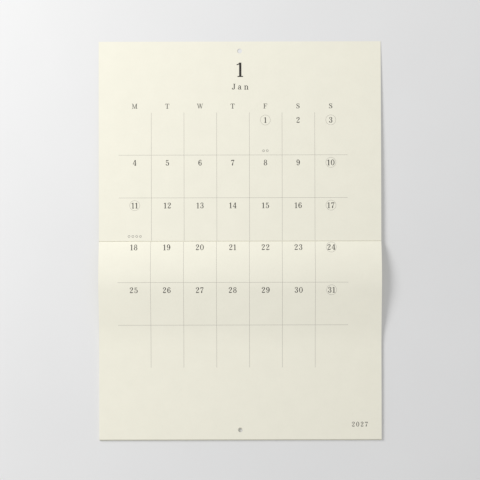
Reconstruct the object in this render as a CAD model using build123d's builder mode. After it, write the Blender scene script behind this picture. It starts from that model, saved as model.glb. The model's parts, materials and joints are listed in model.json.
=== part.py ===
"""A stapled wall calendar, hung open: one leaf turned up, the other leaves hanging below the fold.

The frame has +Z up, the shown pages towards -Y and the wall at +Y. The origin is the centre of the
hanging hole, halfway through the paper. Sizes are in millimetres. Sections are drawn in the YZ plane.
"""

from build123d import *
import math
import os

# Paper
page_width = 297.0
page_height = 210.0
leaf_thickness = 0.17
block_leaves = 12
page_gap = 0.05
page_step = 1.1  # the front page ends this much above the rearmost one, because of the bulge

# Holes
hole_radius = 2.5
hole_inset = 10.0
hole_cut_reach = 10.0  # to each side of the XZ plane, past all the paper

# How the upper leaf stands off the wall
wall_y = 0.5
top_edge_y = 0.28
fold_leaf_y = -3.415
leaf_edge_gap = 0.1

# How the lower leaves bulge below the fold
hinge_gap = 0.2
bulge_angle = 20.0
bulge_run = 27.5
bulge_radius = 100.0
return_angle = 9.0
settle_radius = 160.0
saddle_sweep = 135.0  # how far around the spine the cover paper wraps, in degrees

# Staples
staple_offset = 72.0
staple_crown = 12.6
staple_tail = 4.5
wire_radius = 0.25
wire_bend = 0.6
wire_clearance = 0.05

os.makedirs("parts", exist_ok=True)

# Heights
top_z = hole_inset
fold_z = top_z - page_height
bottom_z = fold_z - page_height
lower_hole_z = bottom_z + hole_inset + page_step / 2

# The block of folded leaves, and its spine behind the line that the upper leaf turns about
block_thickness = block_leaves * leaf_thickness
half_block = block_thickness / 2
lean = math.radians(bulge_angle)
down_y = -math.sin(lean)
down_z = -math.cos(lean)
hinge_y = fold_leaf_y - leaf_thickness / 2 - hinge_gap
spine_y = hinge_y - down_z * (hinge_gap + half_block) + down_y * half_block
spine_z = fold_z + down_y * (hinge_gap + half_block) + down_z * half_block

# The corners of the block's middle line, before they are rounded
flat_y = wall_y - leaf_thickness - page_gap - half_block
peak_y = spine_y + down_y * bulge_run
peak_z = spine_z + down_z * bulge_run
settle_z = peak_z - (flat_y - peak_y) / math.tan(math.radians(return_angle))

# Distances from that line: the cover paper behind it, and the staples' crowns above its upper end
cover_offset = half_block + page_gap + leaf_thickness / 2
crown_offset = cover_offset + leaf_thickness / 2 + wire_clearance + wire_radius
tail_depth = crown_offset + wire_radius + wire_clearance


def hanging_line():
    """The middle line of the hanging leaves, from the spine down to their lower edges."""
    with BuildLine(mode=Mode.PRIVATE) as middle:
        FilletPolyline(
            (spine_y, spine_z),
            (peak_y, peak_z),
            (flat_y, settle_z),
            (flat_y, bottom_z),
            radius=[bulge_radius, settle_radius],
        )
    return middle.line


def staple(side, radius):
    """One staple's wire at a given radius: the crown, two legs and the tails clinched inwards."""
    half_crown = staple_crown / 2
    tail_end = half_crown - staple_tail
    outside = Plane(
        origin=(side * staple_offset, spine_y - down_y * crown_offset, spine_z - down_z * crown_offset),
        x_dir=(1, 0, 0),
        z_dir=(0, down_z, -down_y),
    )
    with BuildPart() as wire:
        with BuildLine(outside) as route:
            FilletPolyline(
                (-tail_end, -tail_depth),
                (-half_crown, -tail_depth),
                (-half_crown, 0),
                (half_crown, 0),
                (half_crown, -tail_depth),
                (tail_end, -tail_depth),
                radius=wire_bend,
            )
        with BuildSketch(route.line ^ 0):
            Circle(radius)
        sweep()
    return wire


# The staples, and the room that each one needs in the paper
staple_left = staple(-1, wire_radius)
staple_right = staple(1, wire_radius)
room_left = staple(-1, wire_radius + wire_clearance)
room_right = staple(1, wire_radius + wire_clearance)

# The leaf that is turned up, with the hole that the calendar hangs by
with BuildPart() as front_leaf:
    with BuildSketch(Plane.YZ):
        with BuildLine():
            ThreePointArc((top_edge_y, top_z), (0, 0), (fold_leaf_y, fold_z + leaf_edge_gap))
        trace(line_width=leaf_thickness)
    extrude(amount=page_width / 2, both=True)
    with BuildSketch(Plane.XZ):
        Circle(hole_radius)
    extrude(amount=hole_cut_reach, both=True, mode=Mode.SUBTRACT)

# The nested folded sheets between the two covers, as one solid with a rounded spine
with BuildPart() as page_block:
    with BuildSketch(Plane.YZ):
        with BuildLine():
            add(hanging_line())
        trace(line_width=block_thickness)
        with Locations((spine_y, spine_z)):
            Circle(half_block)
    extrude(amount=page_width / 2, both=True)
    step_angle = math.atan(page_step / block_thickness)
    lower_edges = Plane(
        origin=(0, flat_y + half_block, bottom_z),
        x_dir=(1, 0, 0),
        z_dir=(0, math.sin(step_angle), math.cos(step_angle)),
    )
    split(bisect_by=lower_edges, keep=Keep.TOP)
    with BuildSketch(Plane.XZ):
        with Locations((0, lower_hole_z)):
            Circle(hole_radius)
    extrude(amount=hole_cut_reach, both=True, mode=Mode.SUBTRACT)
    add(room_left.part, mode=Mode.SUBTRACT)
    add(room_right.part, mode=Mode.SUBTRACT)

# The rearmost leaf: it wraps over the spine under the staples' crowns and hangs behind the block
with BuildPart() as back_leaf:
    with BuildSketch(Plane.YZ):
        with BuildLine():
            CenterArc((spine_y, spine_z), cover_offset, -bulge_angle, saddle_sweep)
            add(offset(hanging_line(), cover_offset, side=Side.LEFT, closed=False, mode=Mode.PRIVATE))
        trace(line_width=leaf_thickness)
    extrude(amount=page_width / 2, both=True)
    with BuildSketch(Plane.XZ):
        with Locations((0, lower_hole_z)):
            Circle(hole_radius)
    extrude(amount=hole_cut_reach, both=True, mode=Mode.SUBTRACT)
    add(room_left.part, mode=Mode.SUBTRACT)
    add(room_right.part, mode=Mode.SUBTRACT)

front_leaf.part.label = "front_leaf"
page_block.part.label = "page_block"
back_leaf.part.label = "back_leaf"
staple_left.part.label = "staple_left"
staple_right.part.label = "staple_right"

export_step(front_leaf.part, "parts/front_leaf.step")
export_step(page_block.part, "parts/page_block.step")
export_step(back_leaf.part, "parts/back_leaf.step")
export_step(staple_left.part, "parts/staple_left.step")
export_step(staple_right.part, "parts/staple_right.step")
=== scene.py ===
"""Looks of the hung wall calendar: leaves of uncoated paper, a printed month, staples and a wall.

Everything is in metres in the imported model's frame: the hanging hole at the origin, the wall at +Y.
A leaf is a thin closed solid that follows one curve in Y and Z, and the print lies on the same curves.
"""

import json
import math

import bpy
import numpy as np
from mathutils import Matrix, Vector


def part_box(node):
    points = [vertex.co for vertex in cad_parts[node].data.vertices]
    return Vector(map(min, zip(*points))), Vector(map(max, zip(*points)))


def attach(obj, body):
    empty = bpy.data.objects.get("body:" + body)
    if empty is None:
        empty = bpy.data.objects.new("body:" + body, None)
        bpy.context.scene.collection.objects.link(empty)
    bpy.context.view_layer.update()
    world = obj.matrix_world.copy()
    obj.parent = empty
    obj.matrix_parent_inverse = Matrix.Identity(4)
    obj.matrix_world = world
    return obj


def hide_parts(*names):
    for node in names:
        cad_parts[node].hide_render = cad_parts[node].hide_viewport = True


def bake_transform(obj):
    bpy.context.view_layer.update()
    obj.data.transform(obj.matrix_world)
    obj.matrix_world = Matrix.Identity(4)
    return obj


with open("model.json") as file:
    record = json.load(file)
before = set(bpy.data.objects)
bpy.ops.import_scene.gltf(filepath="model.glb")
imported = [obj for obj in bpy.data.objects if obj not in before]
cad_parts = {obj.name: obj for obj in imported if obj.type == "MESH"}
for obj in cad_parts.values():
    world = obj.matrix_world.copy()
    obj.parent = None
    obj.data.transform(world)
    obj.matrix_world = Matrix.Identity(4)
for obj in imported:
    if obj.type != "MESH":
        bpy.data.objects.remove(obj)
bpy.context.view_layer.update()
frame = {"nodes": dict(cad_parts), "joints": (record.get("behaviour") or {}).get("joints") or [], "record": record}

MM = 0.001

# ---- Sizes from the frame ------------------------------------------------------------------------

leaf_low, leaf_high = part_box("front_leaf")
back_low, back_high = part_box("back_leaf")
hinge_y, fold_z = frame["joints"][0]["pos_m"][1:]
hanging = next(m for m in frame["record"]["mounts"] if m["name"] == "hanging_hole")
hole_radius = hanging["dims"]["r_mm"] * MM

half_width = leaf_high.x
top_z = leaf_high.z
bottom_z = back_low.z
wall_y = back_high.y
hole_inset = top_z  # from each leaf's outer edge, because the origin is the upper hole

# ---- Paper ---------------------------------------------------------------------------------------

COVER_THICKNESS = 0.17 * MM
COVER_GAP = 0.05 * MM
SHEETS = 6  # folded sheets between the covers, so twice as many leaves
PAGE_THICKNESS = 0.13 * MM  # less than their spacing, so that the leaves show one by one
PAGE_STEP = 1.1 * MM  # the front page ends this much above the rearmost one
BULGE_ANGLE = math.radians(20)
BULGE_RADIUS = 100 * MM
RETURN_ANGLE = math.radians(9)
SETTLE_RADIUS = 160 * MM
HINGE_GAP = 0.2 * MM
BULGE_RUN = 27.5 * MM

half_block = SHEETS * COVER_THICKNESS  # two leaves to a sheet, on both sides of the middle
cover_offset = half_block + COVER_GAP + COVER_THICKNESS / 2


def rounded(corners, radii, spacing, arc_step=math.radians(4)):
    """A line through corners in (y, z), with each inner corner rounded, as evenly spaced points."""
    points = [np.array(corners[0], float)]
    for before, corner, after, radius in zip(corners, corners[1:], corners[2:], radii):
        before, corner, after = (np.array(p, float) for p in (before, corner, after))
        a = (corner - before) / np.linalg.norm(corner - before)
        b = (after - corner) / np.linalg.norm(after - corner)
        turn = math.acos(max(-1.0, min(1.0, float(a @ b))))
        tangent = radius * math.tan(turn / 2)
        start = corner - a * tangent
        side = 1.0 if a[0] * b[1] - a[1] * b[0] > 0 else -1.0
        inward = np.array([-a[1], a[0]]) * side
        centre = start + inward * radius
        steps = max(2, math.ceil(turn / arc_step), math.ceil(turn * radius / spacing))
        for k in range(steps + 1):
            angle = turn * k / steps * side
            c, s = math.cos(angle), math.sin(angle)
            arm = start - centre
            points.append(centre + np.array([arm[0] * c - arm[1] * s, arm[0] * s + arm[1] * c]))
    points.append(np.array(corners[-1], float))
    line = [points[0]]
    for p in points[1:]:
        gap = np.linalg.norm(p - line[-1])
        if gap < 1e-9:
            continue
        pieces = max(1, math.ceil(gap / spacing))
        line += [line[-1] + (p - line[-1]) * (i + 1) / pieces for i in range(pieces)]
    return np.array(line)


def normals(line):
    """Unit normals of a line in (y, z): for a line that runs down, they point to the front, -Y."""
    along = np.gradient(line, axis=0)
    along /= np.linalg.norm(along, axis=1)[:, None]
    return np.stack([along[:, 1], -along[:, 0]], axis=1)


# The hanging leaves' middle line, as the frame's page block has it
down = np.array([-math.sin(BULGE_ANGLE), -math.cos(BULGE_ANGLE)])
back = np.array([-down[1], down[0]])
spine = np.array([hinge_y, fold_z]) + back * (HINGE_GAP + half_block) + down * half_block
peak = spine + down * BULGE_RUN
flat_y = wall_y - COVER_THICKNESS - COVER_GAP - half_block
settle = np.array([flat_y, peak[1] - (flat_y - peak[0]) / math.tan(RETURN_ANGLE)])
end = np.array([flat_y, bottom_z])


def hanging_line(offset, spacing=2.2 * MM):
    """The leaves' middle line moved towards the wall by offset, from the spine down."""
    line = rounded([spine, peak, settle, end], [BULGE_RADIUS, SETTLE_RADIUS], spacing)
    return line - normals(line) * offset


def cut_at(line, z):
    """The line up to a height z, where its last point lies."""
    keep = line[line[:, 1] > z + 0.2 * MM]
    last = np.array([np.interp(-z, -line[:, 1], line[:, 0]), z])
    return np.vstack([keep, last])


def arc(centre, radius, first, last, steps):
    """Points of an arc in (y, z), with angles in radians from +Y."""
    angles = np.linspace(first, last, steps)
    return np.array(centre) + radius * np.stack([np.cos(angles), np.sin(angles)], axis=1)


# ---- How the paper waves -------------------------------------------------------------------------


def ease(value, low, high):
    """0 below low, 1 above high, smooth between."""
    t = np.clip((value - low) / (high - low), 0, 1)
    return t * t * (3 - 2 * t)


TWIST = 0.55 * MM  # the bulge stands out more at the left
RIPPLE = 0.05 * MM
LIFT = 0.10 * MM


def wave(x, z):
    """How far the paper stands forward of its plain curve, in metres. It dies out at the fold.

    Below the fold it is never negative, because the wall is right behind the paper.
    """
    u, below = x / half_width, (fold_z - z) / (fold_z - bottom_z)
    above = (z - fold_z) / (top_z - fold_z)
    lower_part = np.where(below > 0, ease(below, 0.02, 0.25), 0)
    twist = TWIST * lower_part * (1 - ease(below, 0.45, 0.75)) * (0.6 - 0.8 * u + 0.35 * (u * u - 0.4))
    rolling = np.sin(2.3 * u + 5.2 * below + 0.7) * np.cos(1.1 * u - 3.1 * below)
    ripple = RIPPLE * lower_part * (1 + rolling)
    upper_part = np.where(above > 0, ease(above, 0.02, 0.3), 0)
    lift = LIFT * upper_part * (np.sin(2.0 * u - 2.4 * above + 0.4) + 0.6 * u * u)
    return twist + ripple + lift


# ---- Meshes --------------------------------------------------------------------------------------


SHARP_ANGLE = math.radians(35)


def new_object(name, vertices, faces, material, smooth=True):
    """An object with one material. A smooth one keeps edges over SHARP_ANGLE sharp."""
    mesh = bpy.data.meshes.new(name)
    mesh.from_pydata([tuple(v) for v in vertices], [], faces)
    mesh.validate()
    mesh.polygons.foreach_set("use_smooth", [smooth] * len(mesh.polygons))
    if smooth:
        mesh.set_sharp_from_angle(angle=SHARP_ANGLE)
    mesh.materials.append(material)
    mesh.update()
    obj = bpy.data.objects.new(name, mesh)
    bpy.context.scene.collection.objects.link(obj)
    return obj


HOLE_CELLS = 10  # grid cells along each side of the square around a hole
HOLE_MARGIN = 4.5 * MM  # from a hole's centre to the sides of its square
HOLE_CLEARANCE = 0.8 * MM  # no other grid line comes nearer to the square


def with_hole_lines(values, centre):
    """Grid lines with the square around a hole cut evenly into cells."""
    lines = [v for v in values if abs(v - centre) > HOLE_MARGIN + HOLE_CLEARANCE]
    square = np.linspace(centre - HOLE_MARGIN, centre + HOLE_MARGIN, HOLE_CELLS + 1)
    return np.array(sorted([*lines, *square]))


def flat_grid(xs, ss, holes):
    """Vertices (x, s) and faces of a flat grid with round holes, each in its own square of cells."""
    columns, rows = len(xs), len(ss)
    points = [(x, s) for s in ss for x in xs]
    inside = np.zeros((rows - 1, columns - 1), bool)
    faces = []
    for hole_x, hole_s in holes:
        i0 = int(np.argmin(abs(xs - (hole_x - HOLE_MARGIN))))
        j0 = int(np.argmin(abs(ss - (hole_s - HOLE_MARGIN))))
        inside[j0:j0 + HOLE_CELLS, i0:i0 + HOLE_CELLS] = True
        n = HOLE_CELLS
        ring = [(i0 + k, j0) for k in range(n)] + [(i0 + n, j0 + k) for k in range(n)]
        ring += [(i0 + n - k, j0 + n) for k in range(n)] + [(i0, j0 + n - k) for k in range(n)]
        outer = [j * columns + i for i, j in ring]
        loops = [outer]
        for share in (0.5, 1.0):
            loop = []
            for k, index in enumerate(outer):
                px, ps = points[index]
                angle = math.atan2(ps - hole_s, px - hole_x)
                cx, cs = hole_x + hole_radius * math.cos(angle), hole_s + hole_radius * math.sin(angle)
                loop.append(len(points))
                points.append((px + (cx - px) * share, ps + (cs - ps) * share))
            loops.append(loop)
        for a, b in zip(loops, loops[1:]):
            for k in range(len(a)):
                m = (k + 1) % len(a)
                faces.append((a[k], a[m], b[m], b[k]))
    for j in range(rows - 1):
        for i in range(columns - 1):
            if not inside[j, i]:
                a = j * columns + i
                faces.append((a, a + 1, a + columns + 1, a + columns))
    used = sorted({v for f in faces for v in f})
    place = {v: k for k, v in enumerate(used)}
    return np.array([points[v] for v in used]), [tuple(place[v] for v in f) for f in faces]


def paper_sheet(name, line, thickness, holes, material, columns=22):
    """A leaf or folded sheet that follows a line in (y, z). Holes are given as distances along it."""
    length = np.concatenate([[0], np.cumsum(np.linalg.norm(np.diff(line, axis=0), axis=1))])
    facing = normals(line)
    xs, ss = np.linspace(-half_width, half_width, columns), length
    for hole_x, hole_s in holes:
        ss = with_hole_lines(ss, hole_s)
    if holes:
        xs = with_hole_lines(xs, holes[0][0])
    flat, faces = flat_grid(xs, ss, holes)
    y, z = (np.interp(flat[:, 1], length, line[:, k]) for k in (0, 1))
    ny, nz = (np.interp(flat[:, 1], length, facing[:, k]) for k in (0, 1))
    forward = wave(flat[:, 0], z)
    sides = []
    for sign in (1, -1):
        out = sign * thickness / 2
        sides.append(np.stack([flat[:, 0], y - forward + ny * out, z + nz * out], axis=1))
    n = len(flat)
    edges = dict.fromkeys((a, b) for f in faces for a, b in zip(f, f[1:] + f[:1]))
    rim = [(a, b) for a, b in edges if (b, a) not in edges]
    whole = [tuple(reversed(f)) for f in faces] + [tuple(v + n for v in f) for f in faces]
    whole += [(a, b, b + n, a + n) for a, b in rim]
    return new_object(name, np.vstack(sides), whole, material)


# ---- Materials -----------------------------------------------------------------------------------


def material(name):
    """A new material, its nodes, its links and its Principled shader."""
    made = bpy.data.materials.new(name)
    made.use_nodes = True
    nodes = made.node_tree.nodes
    return made, nodes, made.node_tree.links, nodes["Principled BSDF"]


def noise(nodes, links, scale, detail=4.0, roughness=0.55, stretch=(1, 1, 1)):
    """A noise over the frame's own coordinates, so that it doesn't depend on a piece's mesh."""
    place = nodes.new("ShaderNodeTexCoord")
    mapping = nodes.new("ShaderNodeMapping")
    mapping.inputs["Scale"].default_value = stretch
    texture = nodes.new("ShaderNodeTexNoise")
    texture.inputs["Scale"].default_value = scale
    texture.inputs["Detail"].default_value = detail
    texture.inputs["Roughness"].default_value = roughness
    links.new(place.outputs["Object"], mapping.inputs["Vector"])
    links.new(mapping.outputs["Vector"], texture.inputs["Vector"])
    return texture.outputs["Fac"]


def ramp(nodes, links, value, low, high, stops=(0.35, 0.65)):
    """A colour that goes from low to high as the value passes the two stops."""
    made = nodes.new("ShaderNodeValToRGB")
    made.color_ramp.elements[0].position, made.color_ramp.elements[1].position = stops
    made.color_ramp.elements[0].color = (*low, 1)
    made.color_ramp.elements[1].color = (*high, 1)
    links.new(value, made.inputs["Fac"])
    return made.outputs["Color"]


def mix(nodes, links, factor, a, b):
    """Two colours mixed by a fixed share of the second."""
    made = nodes.new("ShaderNodeMix")
    made.data_type = "RGBA"
    made.inputs["Factor"].default_value = factor
    links.new(a, made.inputs["A"])
    links.new(b, made.inputs["B"])
    return made.outputs["Result"]


def bump(nodes, links, shader, layers):
    """Chains bump layers of (height, strength, distance in metres) into a shader's normal."""
    normal = None
    for height, strength, distance in layers:
        node = nodes.new("ShaderNodeBump")
        node.inputs["Strength"].default_value = strength
        node.inputs["Distance"].default_value = distance
        links.new(height, node.inputs["Height"])
        if normal:
            links.new(normal, node.inputs["Normal"])
        normal = node.outputs["Normal"]
    links.new(normal, shader.inputs["Normal"])


def uneven_roughness(nodes, links, shader, scale, low, high):
    """Lets the roughness wander between two values."""
    rough = nodes.new("ShaderNodeMapRange")
    rough.inputs["To Min"].default_value, rough.inputs["To Max"].default_value = low, high
    links.new(noise(nodes, links, scale), rough.inputs["Value"])
    links.new(rough.outputs["Result"], shader.inputs["Roughness"])


def uncoated_paper(name, tint):
    """Cream uncoated paper: cloudy pulp, short fibres across it and a soft toothed surface."""
    made, nodes, links, shader = material(name)
    light = tuple(c * 1.012 for c in tint)
    dark = tuple(c * 0.985 for c in tint)
    clouds = ramp(nodes, links, noise(nodes, links, 55, 5), dark, light)
    specks = ramp(nodes, links, noise(nodes, links, 900, 3, 0.7, (1, 1, 0.35)),
                  tuple(c * 0.95 for c in tint), tuple(c * 1.01 for c in tint), (0.25, 0.45))
    links.new(mix(nodes, links, 0.35, clouds, specks), shader.inputs["Base Color"])
    uneven_roughness(nodes, links, shader, 400, 0.82, 0.94)
    shader.inputs["Specular IOR Level"].default_value = 0.25
    shader.inputs["Sheen Weight"].default_value = 0.04
    fibres = noise(nodes, links, 1500, 3, 0.6, (1, 1, 0.3))
    tooth = noise(nodes, links, 420, 4, 0.6)
    bump(nodes, links, shader, [(tooth, 0.35, 0.05 * MM), (fibres, 0.4, 0.02 * MM)])
    return made


def printing_ink(name, colour, lighter):
    """Ink that has sunk into the paper: a little uneven, dull, and toothed like the sheet."""
    made, nodes, links, shader = material(name)
    patchy = ramp(nodes, links, noise(nodes, links, 2200, 4, 0.7), colour, lighter, (0.45, 0.8))
    links.new(patchy, shader.inputs["Base Color"])
    shader.inputs["Roughness"].default_value = 0.7
    shader.inputs["Specular IOR Level"].default_value = 0.3
    bump(nodes, links, shader, [(noise(nodes, links, 420, 4, 0.6), 0.35, 0.05 * MM)])
    return made


def staple_steel(name):
    """Bright drawn wire: fine lines along it and a slightly uneven shine."""
    made, nodes, links, shader = material(name)
    drawn = noise(nodes, links, 3000, 3, 0.6, (0.05, 1, 1))
    links.new(ramp(nodes, links, drawn, (0.50, 0.50, 0.51), (0.72, 0.72, 0.72)),
              shader.inputs["Base Color"])
    shader.inputs["Metallic"].default_value = 1.0
    uneven_roughness(nodes, links, shader, 900, 0.24, 0.42)
    bump(nodes, links, shader, [(drawn, 0.3, 0.01 * MM)])
    return made


PAPER_TINT = (0.866, 0.843, 0.722)
page_paper = uncoated_paper("page_paper", PAPER_TINT)
cover_paper = uncoated_paper("cover_paper", tuple(c * 0.995 for c in PAPER_TINT))
black_ink = printing_ink("black_ink", (0.022, 0.019, 0.017), (0.05, 0.045, 0.04))
grey_ink = printing_ink("grey_ink", (0.40, 0.38, 0.34), (0.48, 0.46, 0.41))
mark_ink = printing_ink("mark_ink", (0.20, 0.19, 0.18), (0.27, 0.26, 0.24))
wire = staple_steel("staple_wire")

# ---- The cover sheet, which is one folded sheet: the turned-up leaf and the rearmost leaf --------

upper_top = np.array([leaf_high.y - COVER_THICKNESS / 2, top_z])
upper_fold = np.array([leaf_low.y + COVER_THICKNESS / 2, fold_z])


UPPER_SPACING = 6 * MM
CREASE_START = 0.4 * MM  # above the fold


def upper_line():
    """The turned-up leaf's middle line, a slow curve through its top edge, the hole and the fold."""
    z = np.linspace(top_z, fold_z + CREASE_START, round((top_z - fold_z) / UPPER_SPACING))
    curve = np.polyfit([top_z, 0, fold_z], [upper_top[0], 0, upper_fold[0]], 2)
    return np.stack([np.polyval(curve, z), z], axis=1)


FOLD_CORNER = 0.35 * MM  # the middle line's radius in the crease
FOLD_DROP = 0.05 * MM
CREASE_SPACING, CREASE_TURN = 0.12 * MM, math.radians(9)
COVER_SPINE_STEPS = 16
ridge_angle = math.radians(75.4)  # where the paper from the fold meets the curve over the spine
turn_corner = upper_fold + np.array([0, -FOLD_DROP])
ridge = spine + cover_offset * np.array([math.cos(ridge_angle), math.sin(ridge_angle)])
crease = rounded([upper_line()[-1], turn_corner, ridge], [FOLD_CORNER], CREASE_SPACING, CREASE_TURN)
over_spine = arc(spine, cover_offset, ridge_angle, -BULGE_ANGLE, COVER_SPINE_STEPS)
behind = cut_at(hanging_line(cover_offset), bottom_z)
cover_line = np.vstack([upper_line()[:-1], crease, over_spine[1:], behind[1:]])


def along(line, z, after=0):
    """The distance along a line to where it comes down to z, looked for from index after on."""
    length = np.concatenate([[0], np.cumsum(np.linalg.norm(np.diff(line, axis=0), axis=1))])
    return float(np.interp(-z, -line[after:, 1], length[after:]))


past_spine = len(cover_line) - len(behind) + 1
cover_holes = [(0.0, along(upper_line(), 0.0)),
               (0.0, along(cover_line, bottom_z + hole_inset, past_spine))]
cover_sheet = paper_sheet("cover_sheet", cover_line, COVER_THICKNESS, cover_holes, cover_paper)
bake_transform(cover_sheet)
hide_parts("front_leaf", "back_leaf")

# ---- The nested sheets ---------------------------------------------------------------------------

SPINE_STEPS = 15
PAGE_COLUMNS = 18
pitch = half_block / SHEETS


def sheet_line(number):
    """One nested sheet's line: up its front leaf, round the spine and down its rear leaf.

    Sheet 0 is the outermost. With the line come the heights of its two edges above the lowest one,
    the number of points in its front leaf, and the index where its rear leaf starts.
    """
    radius = half_block - pitch * (number + 0.5)
    leaves = 2 * SHEETS - 1
    rise = [PAGE_STEP * (1 - order / leaves) for order in (number, leaves - number)]
    front, rear = (cut_at(hanging_line(o), bottom_z + r) for o, r in zip((-radius, radius), rise))
    turned = arc(spine, radius, math.pi - BULGE_ANGLE, -BULGE_ANGLE, SPINE_STEPS)
    return np.vstack([front[::-1], turned[1:-1], rear]), rise, len(front), len(front) + SPINE_STEPS - 2


for number in range(SHEETS):
    line, rise, front_count, rear_start = sheet_line(number)
    front = line[:front_count][::-1]
    front_hole = along(front, bottom_z + rise[0] + hole_inset)
    front_length = along(front, bottom_z + rise[0])
    rear_hole = along(line, bottom_z + rise[1] + hole_inset, rear_start)
    holes = [(0.0, front_length - front_hole), (0.0, rear_hole)]
    sheet = paper_sheet(f"page_sheet_{number + 1}", line, PAGE_THICKNESS, holes, page_paper, PAGE_COLUMNS)
    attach(sheet, "pages")
    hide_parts("page_block")

# ---- Print: thin solids on the paper -------------------------------------------------------------

INK_HEIGHT = 0.03 * MM  # above the paper's face
INK_ROOT = 0.01 * MM  # below it

upper_face = upper_line()
page_face = hanging_line(-(half_block - pitch / 2))


def surface(x, z):
    """Points on the printed side of the paper in view, and its direction out of the paper."""
    x, z = np.asarray(x, float), np.asarray(z, float)
    places, outs = np.zeros((len(x), 3)), np.zeros((len(x), 3))
    pages = ((upper_face, COVER_THICKNESS, z >= fold_z), (page_face, PAGE_THICKNESS, z < fold_z))
    for face, thickness, mine in pages:
        facing = normals(face)
        y = np.interp(-z, -face[:, 1], face[:, 0])
        ny, nz = (np.interp(-z, -face[:, 1], facing[:, k]) for k in (0, 1))
        point = np.stack([x, y - wave(x, z) + ny * thickness / 2, z + nz * thickness / 2], axis=1)
        places[mine], outs[mine] = point[mine], np.stack([0 * x, ny, nz], axis=1)[mine]
    return places, outs


class Print:
    """Collects strokes on one page and makes one mesh of them."""

    def __init__(self, name, ink, body):
        self.name, self.ink, self.body = name, ink, body
        self.vertices, self.faces = [], []

    def solid(self, left, right, closed=False):
        """A thin closed solid between two lines of (x, z) points."""
        left, right = np.array(left), np.array(right)
        sections = len(left)
        start = len(self.vertices)
        quads = []
        for side in (left, right):
            place, out = surface(side[:, 0], side[:, 1])
            quads += [place + out * INK_HEIGHT, place - out * INK_ROOT]
        for k in range(sections):
            self.vertices += [quads[0][k], quads[2][k], quads[3][k], quads[1][k]]
        for k in range(sections if closed else sections - 1):
            a, b = start + 4 * k, start + 4 * ((k + 1) % sections)
            self.faces += [(a + i, a + (i + 1) % 4, b + (i + 1) % 4, b + i) for i in range(4)]
        if not closed:
            last = start + 4 * (sections - 1)
            self.faces += [(start + 3, start + 2, start + 1, start), (last, last + 1, last + 2, last + 3)]

    def stroke(self, points, halves, closed=False):
        """A line of (x, z) points with a half width at each."""
        points, halves = np.array(points, float), np.array(halves, float)[:, None]
        if closed:
            direction = np.roll(points, -1, axis=0) - np.roll(points, 1, axis=0)
        else:
            direction = np.gradient(points, axis=0)
        direction /= np.linalg.norm(direction, axis=1)[:, None]
        across = np.stack([direction[:, 1], -direction[:, 0]], axis=1)
        self.solid(points - across * halves, points + across * halves, closed)

    def done(self):
        """Makes the mesh of all strokes and puts it on its body."""
        obj = new_object(self.name, self.vertices, self.faces, self.ink, smooth=False)
        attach(obj, self.body)


# A serif face in units of its height. A stroke is a list of knots (x, height, half width) that a smooth
# line is drawn through; two knots make a straight one. A dot is a single knot.
STEM, HAIR, SERIF = 0.075, 0.024, 0.026
THINNEST = 0.034  # the least half width that a stroke is drawn with
GLYPH_SPREAD = 1.12  # across, for all glyphs
RING_KNOTS = 16
KNOT_STEPS = 5
STRAIGHT_STEPS = 4
DOT_SLICES = 8
DOT_TIP = 0.05  # a dot's two tips are cut flat, this many radians early


def ring(x, y, across, tall, side=STEM, thin=HAIR):
    """The knots of an oval with heavy sides, closed by repeating the first."""
    knots = []
    for k in range(RING_KNOTS + 1):
        turn = 2 * math.pi * k / RING_KNOTS
        half = thin + (side - thin) * abs(math.sin(turn)) ** 1.5
        knots.append((x + across * math.sin(turn), y + tall * math.cos(turn), half))
    return knots


def foot(x, y, reach, half=SERIF):
    """The knots of a flat serif."""
    return [(x - reach, y, half), (x + reach, y, half)]


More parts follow.
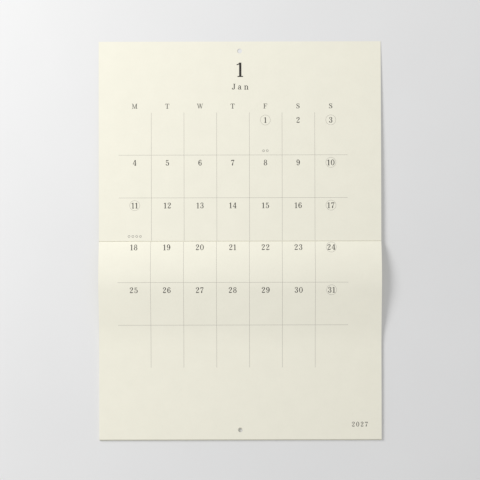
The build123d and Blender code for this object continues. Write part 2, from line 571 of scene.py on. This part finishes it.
GLYPHS = {
    "0": (0.60, [ring(0.30, 0.50, 0.22, 0.475)]),
    "1": (0.46, [[(0.24, 0.0, 0.078), (0.24, 0.97, 0.078)], foot(0.24, 0.025, 0.17),
                 [(0.02, 0.83, 0.024), (0.12, 0.86, 0.036), (0.24, 0.97, 0.03)]]),
    "2": (0.60, [[(0.11, 0.74, 0.02), (0.12, 0.88, 0.03), (0.28, 0.97, 0.028), (0.44, 0.90, 0.06),
                  (0.47, 0.73, 0.08), (0.38, 0.53, 0.06), (0.20, 0.30, 0.034), (0.09, 0.10, 0.03)],
                 [(0.07, 0.07, 0.05), (0.30, 0.075, 0.075), (0.48, 0.07, 0.05), (0.54, 0.22, 0.018)],
                 [(0.135, 0.74, 0.085)]]),
    "3": (0.60, [[(0.11, 0.80, 0.02), (0.16, 0.93, 0.03), (0.30, 0.97, 0.026), (0.44, 0.89, 0.06),
                  (0.46, 0.74, 0.07), (0.38, 0.57, 0.045), (0.24, 0.52, 0.02)],
                 [(0.24, 0.52, 0.02), (0.40, 0.48, 0.045), (0.49, 0.30, 0.08), (0.43, 0.10, 0.06),
                  (0.28, 0.03, 0.026), (0.14, 0.07, 0.03), (0.08, 0.20, 0.02)],
                 [(0.14, 0.79, 0.08)], [(0.13, 0.21, 0.085)]]),
    "4": (0.60, [[(0.40, 0.0, 0.075), (0.40, 0.99, 0.075)], foot(0.40, 0.025, 0.15),
                 [(0.37, 0.97, 0.022), (0.04, 0.29, 0.022)], [(0.02, 0.28, 0.03), (0.57, 0.28, 0.03)]]),
    "5": (0.60, [[(0.13, 0.97, 0.02), (0.14, 0.50, 0.022)],
                 [(0.12, 0.90, 0.05), (0.32, 0.875, 0.065), (0.50, 0.94, 0.03)],
                 [(0.14, 0.50, 0.022), (0.28, 0.61, 0.026), (0.44, 0.52, 0.06), (0.50, 0.32, 0.08),
                  (0.44, 0.11, 0.06), (0.28, 0.03, 0.026), (0.14, 0.07, 0.03), (0.08, 0.19, 0.02)],
                 [(0.13, 0.21, 0.085)]]),
    "6": (0.60, [[(0.47, 0.82, 0.02), (0.42, 0.94, 0.028), (0.32, 0.97, 0.026), (0.17, 0.84, 0.055),
                  (0.10, 0.52, 0.078), (0.14, 0.18, 0.06), (0.30, 0.03, 0.026)],
                 ring(0.31, 0.31, 0.185, 0.285), [(0.45, 0.81, 0.078)]]),
    "7": (0.58, [[(0.06, 0.89, 0.07), (0.30, 0.90, 0.075), (0.53, 0.92, 0.055)],
                 [(0.075, 0.95, 0.02), (0.05, 0.70, 0.02)],
                 [(0.52, 0.90, 0.02), (0.36, 0.58, 0.034), (0.26, 0.26, 0.08), (0.25, 0.0, 0.085)]]),
    "8": (0.60, [ring(0.30, 0.745, 0.165, 0.225, 0.062), ring(0.30, 0.27, 0.20, 0.245, 0.075)]),
    "9": (0.60, [[(0.13, 0.18, 0.02), (0.18, 0.06, 0.028), (0.28, 0.03, 0.026), (0.43, 0.16, 0.055),
                  (0.50, 0.48, 0.078), (0.46, 0.82, 0.06), (0.30, 0.97, 0.026)],
                 ring(0.29, 0.69, 0.185, 0.285), [(0.15, 0.19, 0.078)]]),
    "M": (1.00, [[(0.16, 0.0, 0.024), (0.16, 1.0, 0.024)], [(0.18, 0.98, 0.06), (0.49, 0.05, 0.05)],
                 [(0.49, 0.03, 0.022), (0.80, 0.98, 0.022)], [(0.82, 0.0, 0.075), (0.82, 1.0, 0.075)],
                 foot(0.16, 0.025, 0.13), foot(0.82, 0.025, 0.17), foot(0.12, 0.975, 0.11),
                 foot(0.86, 0.975, 0.13)]),
    "T": (0.84, [[(0.42, 0.0, 0.075), (0.42, 1.0, 0.075)], foot(0.42, 0.025, 0.18),
                 [(0.06, 0.97, 0.03), (0.78, 0.97, 0.03)], [(0.075, 0.98, 0.022), (0.05, 0.72, 0.018)],
                 [(0.765, 0.98, 0.022), (0.79, 0.72, 0.018)]]),
    "W": (1.16, [[(0.16, 0.98, 0.075), (0.40, 0.02, 0.05)], [(0.40, 0.02, 0.022), (0.60, 0.98, 0.022)],
                 [(0.58, 0.98, 0.075), (0.82, 0.02, 0.05)], [(0.82, 0.02, 0.022), (1.02, 0.98, 0.022)],
                 foot(0.15, 0.975, 0.14), foot(0.57, 0.975, 0.14), foot(1.03, 0.975, 0.12)]),
    "F": (0.78, [[(0.22, 0.0, 0.075), (0.22, 1.0, 0.075)], foot(0.22, 0.025, 0.19),
                 [(0.06, 0.972, 0.028), (0.70, 0.972, 0.028)], [(0.69, 0.98, 0.022), (0.71, 0.70, 0.018)],
                 [(0.22, 0.52, 0.024), (0.50, 0.52, 0.024)], [(0.50, 0.66, 0.016), (0.50, 0.38, 0.016)]]),
    "S": (0.68, [[(0.54, 0.74, 0.02), (0.50, 0.90, 0.028), (0.32, 0.975, 0.028), (0.14, 0.88, 0.06),
                  (0.15, 0.68, 0.078), (0.34, 0.54, 0.085), (0.53, 0.40, 0.085), (0.55, 0.18, 0.07),
                  (0.36, 0.028, 0.03), (0.17, 0.08, 0.03), (0.08, 0.27, 0.02)],
                 [(0.545, 0.98, 0.014), (0.55, 0.70, 0.022)],
                 [(0.075, 0.02, 0.014), (0.07, 0.32, 0.022)]]),
    "J": (0.60, [[(0.40, 1.0, 0.078), (0.40, 0.28, 0.078), (0.34, 0.08, 0.055), (0.20, 0.02, 0.026),
                  (0.10, 0.08, 0.022), (0.08, 0.18, 0.02)], foot(0.40, 0.975, 0.18),
                 [(0.12, 0.20, 0.09)]]),
    "a": (0.62, [[(0.12, 0.56, 0.02), (0.18, 0.66, 0.028), (0.28, 0.69, 0.026), (0.40, 0.62, 0.06),
                  (0.42, 0.50, 0.075), (0.42, 0.14, 0.075), (0.48, 0.03, 0.035), (0.58, 0.09, 0.018)],
                 [(0.42, 0.43, 0.02), (0.22, 0.37, 0.03), (0.11, 0.27, 0.062), (0.11, 0.12, 0.062),
                  (0.22, 0.025, 0.028), (0.42, 0.15, 0.02)], [(0.15, 0.56, 0.07)]]),
    "n": (0.76, [[(0.20, 0.0, 0.075), (0.20, 0.68, 0.075)], [(0.57, 0.0, 0.075), (0.57, 0.44, 0.075)],
                 [(0.20, 0.50, 0.02), (0.32, 0.66, 0.028), (0.46, 0.67, 0.04), (0.56, 0.56, 0.07),
                  (0.57, 0.42, 0.075)], foot(0.20, 0.025, 0.15), foot(0.57, 0.025, 0.15),
                 [(0.04, 0.66, 0.024), (0.20, 0.67, 0.024)]]),
}


def smooth_line(knots):
    """A smooth line through the knots, each coordinate and the width eased together."""
    knots = np.array(knots, float)
    if len(knots) == 2:
        t = np.linspace(0, 1, STRAIGHT_STEPS)[:, None]
        return knots[0] * (1 - t) + knots[1] * t
    ends = np.vstack([2 * knots[0] - knots[1], knots, 2 * knots[-1] - knots[-2]])
    line = []
    for a, b, c, d in zip(ends, ends[1:], ends[2:], ends[3:]):
        for k in range(KNOT_STEPS):
            t = k / KNOT_STEPS
            line.append(0.5 * (2 * b + (c - a) * t + (2 * a - 5 * b + 4 * c - d) * t * t
                               + (3 * b - a - 3 * c + d) * t ** 3))
    return np.array([*line, knots[-1]])


def draw_glyph(page, glyph, x, z, height):
    """Draws one glyph with its lower left corner at (x, z)."""
    for knots in GLYPHS[glyph][1]:
        if len(knots) == 1:
            kx, ky, r = knots[0]
            t = np.linspace(-math.pi / 2 + DOT_TIP, math.pi / 2 - DOT_TIP, DOT_SLICES)
            cx, cz = x + kx * GLYPH_SPREAD * height, z + ky * height
            left = [(cx - r * height * math.cos(a), cz + r * height * math.sin(a)) for a in t]
            right = [(cx + r * height * math.cos(a), cz + r * height * math.sin(a)) for a in t]
            page.solid(left[::-1], right[::-1])
            continue
        line = smooth_line(knots)
        line[:, 0] *= GLYPH_SPREAD
        points = np.array([x, z]) + line[:, :2] * height
        page.stroke(points, np.maximum(line[:, 2], THINNEST) * height)


def text_width(text, height, track):
    """The width of a text, with track between its letters."""
    return sum(GLYPHS[c][0] * GLYPH_SPREAD * height for c in text) + track * (len(text) - 1)


def draw_text(page, text, centre, baseline, height, track=0.0):
    """Draws a text about its centre."""
    x = centre - text_width(text, height, track) / 2
    for c in text:
        draw_glyph(page, c, x, baseline, height)
        x += GLYPHS[c][0] * GLYPH_SPREAD * height + track


CIRCLE_STEPS = 48


def draw_circle(page, x, z, radius, half):
    """Draws a ring of a given half width."""
    turns = np.linspace(0, 2 * math.pi, CIRCLE_STEPS, endpoint=False)
    points = np.stack([x + radius * np.cos(turns), z + radius * np.sin(turns)], axis=1)
    page.stroke(points[::-1], [half] * len(points), closed=True)


def draw_rule(page, start, finish, half, spacing=2.5 * MM):
    """Draws a straight line in steps that follow the paper's curve."""
    start, finish = np.array(start), np.array(finish)
    steps = max(2, round(np.linalg.norm(finish - start) / spacing))
    t = np.linspace(0, 1, steps)[:, None]
    page.stroke(start * (1 - t) + finish * t, [half] * steps)


# The month: weeks from Monday, three rows above the fold. The first lower row has no line of its own.
GRID_LEFT, GRID_PITCH = -127.6 * MM, 34.4 * MM
LOWER_LEFT, LOWER_PITCH = -128.5 * MM, 34.55 * MM
UPPER_ROWS = [fold_z + r * MM for r in (135.2, 90.4, 45.4)]
LOWER_ROWS = [fold_z - r * MM for r in (-1.4, 43.4, 88.4)]
GRID_FOOT = fold_z - 133.2 * MM
RULE_HALF = 0.15 * MM
NUMBER_HEIGHT = 6.0 * MM
NUMBER_DROP = 8.0 * MM
DIGIT_TRACK = 0.7 * MM
WEEKDAYS = "MTWTFSS"
WEEKDAY_HEIGHT, WEEKDAY_FOOT = 5.1 * MM, fold_z + 139.4 * MM
COLUMNS = len(WEEKDAYS)
COLUMN_MIDDLE = 0.49  # of a column's width
WEEKS_ABOVE = 3
FIRST_COLUMN = 4
DAYS = 31
CIRCLED = (1, 3, 10, 11, 17, 24, 31)
CIRCLE_RADIUS = 5.25 * MM
CIRCLE_HALF = 0.15 * MM
NOTE_RADIUS, NOTE_HALF, NOTE_STEP = 1.05 * MM, 0.2 * MM, 4.0 * MM
RULE_START = 0.7 * MM  # the upright rules' distance below the fold
LOWER_RULE_SPACING = 1.5 * MM

upper_black = Print("upper_numbers", black_ink, "front_cover")
upper_grey = Print("upper_rules", grey_ink, "front_cover")
upper_marks = Print("upper_marks", mark_ink, "front_cover")
lower_black = Print("lower_numbers", black_ink, "pages")
lower_grey = Print("lower_rules", grey_ink, "pages")

draw_text(upper_black, "1", 0.4 * MM, fold_z + 172.8 * MM, 15.4 * MM)
draw_text(upper_black, "Jan", 0.5 * MM, fold_z + 159.4 * MM, 6.0 * MM, 2.3 * MM)
for column, letter in enumerate(WEEKDAYS):
    x = GRID_LEFT + (column + COLUMN_MIDDLE) * GRID_PITCH
    draw_text(upper_black, letter, x, WEEKDAY_FOOT, WEEKDAY_HEIGHT)

for column in range(1, COLUMNS):
    x = GRID_LEFT + column * GRID_PITCH
    draw_rule(upper_grey, (x, UPPER_ROWS[0]), (x, fold_z + 0.5 * MM), RULE_HALF)
    x = LOWER_LEFT + column * LOWER_PITCH
    draw_rule(lower_grey, (x, fold_z - RULE_START), (x, GRID_FOOT), RULE_HALF, LOWER_RULE_SPACING)
for z in UPPER_ROWS[1:]:
    draw_rule(upper_grey, (GRID_LEFT, z), (GRID_LEFT + COLUMNS * GRID_PITCH, z), RULE_HALF)
for z in LOWER_ROWS[1:]:
    draw_rule(lower_grey, (LOWER_LEFT, z), (LOWER_LEFT + COLUMNS * LOWER_PITCH, z), RULE_HALF)

for day in range(1, DAYS + 1):
    week, column = divmod(day - 1 + FIRST_COLUMN, COLUMNS)
    if week < WEEKS_ABOVE:
        left, step, rows, black, grey = GRID_LEFT, GRID_PITCH, UPPER_ROWS, upper_black, upper_grey
    else:
        left, step, rows, black, grey = LOWER_LEFT, LOWER_PITCH, LOWER_ROWS, lower_black, lower_grey
    x, z = left + (column + COLUMN_MIDDLE) * step, rows[week % WEEKS_ABOVE] - NUMBER_DROP
    draw_text(black, str(day), x, z - NUMBER_HEIGHT / 2, NUMBER_HEIGHT, DIGIT_TRACK)
    if day in CIRCLED:
        draw_circle(grey, x, z, CIRCLE_RADIUS, CIRCLE_HALF)

# Two rows of plain dots where the real page has short notes
for dots, column, z in ((2, 4, fold_z + 94.8 * MM), (4, 0, fold_z + 4.9 * MM)):
    for k in range(dots):
        x = GRID_LEFT + (column + COLUMN_MIDDLE) * GRID_PITCH + (k - (dots - 1) / 2) * NOTE_STEP
        draw_circle(upper_marks, x, z, NOTE_RADIUS, NOTE_HALF)

draw_text(lower_black, "2027", 125.6 * MM, fold_z - 195.6 * MM, 5.0 * MM, 1.25 * MM)

for page in (upper_black, upper_grey, upper_marks, lower_black, lower_grey):
    page.done()

# ---- Staples -------------------------------------------------------------------------------------

for node in ("staple_left", "staple_right"):
    frame["nodes"][node].data.materials.clear()
    frame["nodes"][node].data.materials.append(wire)

# ---- The wall ------------------------------------------------------------------------------------

WALL_SIZE = 9.0
WALL_GREY = 0.785
WALL_GAP = 0.05 * MM

wall_material, nodes, links, shader = material("painted_wall")
links.new(ramp(nodes, links, noise(nodes, links, 6, 3), (WALL_GREY * 0.99,) * 3, (WALL_GREY * 1.01,) * 3),
          shader.inputs["Base Color"])
shader.inputs["Roughness"].default_value = 0.9
shader.inputs["Specular IOR Level"].default_value = 0.2
bump(nodes, links, shader, [(noise(nodes, links, 260, 5), 0.15, 0.1 * MM)])
see_through = nodes.new("ShaderNodeBsdfTransparent")
facing_node, chooser = nodes.new("ShaderNodeNewGeometry"), nodes.new("ShaderNodeMixShader")
links.new(facing_node.outputs["Backfacing"], chooser.inputs["Fac"])
links.new(shader.outputs["BSDF"], chooser.inputs[1])
links.new(see_through.outputs["BSDF"], chooser.inputs[2])
links.new(chooser.outputs["Shader"], nodes["Material Output"].inputs["Surface"])

wall_plane_y = wall_y + WALL_GAP
half = WALL_SIZE / 2
wall = new_object("wall", [(-half, wall_plane_y, -half), (half, wall_plane_y, -half),
                           (half, wall_plane_y, half), (-half, wall_plane_y, half)],
                  [(0, 1, 2, 3)], wall_material, smooth=False)
wall.visible_shadow = False
wall.visible_diffuse = False

# ---- Light ---------------------------------------------------------------------------------------

scene = bpy.context.scene
world = bpy.data.worlds.new("room")
scene.world = world
world.use_nodes = True
tree = world.node_tree
room_light = tree.nodes["Background"]
room_light.inputs["Color"].default_value = (0.985, 0.99, 1.0, 1)
room_light.inputs["Strength"].default_value = 0.57
backdrop = tree.nodes.new("ShaderNodeBackground")
backdrop.inputs["Color"].default_value = (0.86, 0.86, 0.86, 1)
backdrop.inputs["Strength"].default_value = 1.0
rays = tree.nodes.new("ShaderNodeLightPath")
either = tree.nodes.new("ShaderNodeMath")
chooser = tree.nodes.new("ShaderNodeMixShader")
either.operation = "MAXIMUM"
tree.links.new(rays.outputs["Is Camera Ray"], either.inputs[0])
tree.links.new(rays.outputs["Is Glossy Ray"], either.inputs[1])
tree.links.new(either.outputs["Value"], chooser.inputs["Fac"])
tree.links.new(room_light.outputs["Background"], chooser.inputs[1])
tree.links.new(backdrop.outputs["Background"], chooser.inputs[2])
tree.links.new(chooser.outputs["Shader"], tree.nodes["World Output"].inputs["Surface"])

KEY_DISTANCE = 1.7
KEY_SIZE = 0.85
KEY_POWER = 20.0
KEY_COLOUR = (1.0, 0.995, 0.985)
middle = np.array([0, 0, fold_z])
towards_key = np.array([-1.1, -1.0, 0.7])
towards_key /= np.linalg.norm(towards_key)
key_place = middle + towards_key * KEY_DISTANCE

# One wide window, up to the left, turned to the calendar's middle
light = bpy.data.lights.new("key", "AREA")
light.shape, light.size, light.energy, light.color = "DISK", KEY_SIZE, KEY_POWER, KEY_COLOUR
key = bpy.data.objects.new("key", light)
key.location = key_place
key.rotation_mode = "QUATERNION"
key.rotation_quaternion = Vector(middle - key_place).to_track_quat("-Z", "Y")
scene.collection.objects.link(key)

# ---- Camera --------------------------------------------------------------------------------------

CAMERA_DISTANCE = 1.7
VIEW_WIDTH = 504.6 * MM
SENSOR = 36.0
CAMERA_ROLL = math.radians(0.13)
camera_data = bpy.data.cameras.new("camera")
camera_data.sensor_width = SENSOR
camera_data.lens = SENSOR * CAMERA_DISTANCE / VIEW_WIDTH
camera = bpy.data.objects.new("camera", camera_data)
camera.location = (-0.1 * MM, hinge_y - CAMERA_DISTANCE, fold_z + 0.95 * MM)
camera.rotation_euler = (math.radians(90), CAMERA_ROLL, 0)
scene.collection.objects.link(camera)
scene.camera = camera
scene.view_settings.view_transform = "Standard"
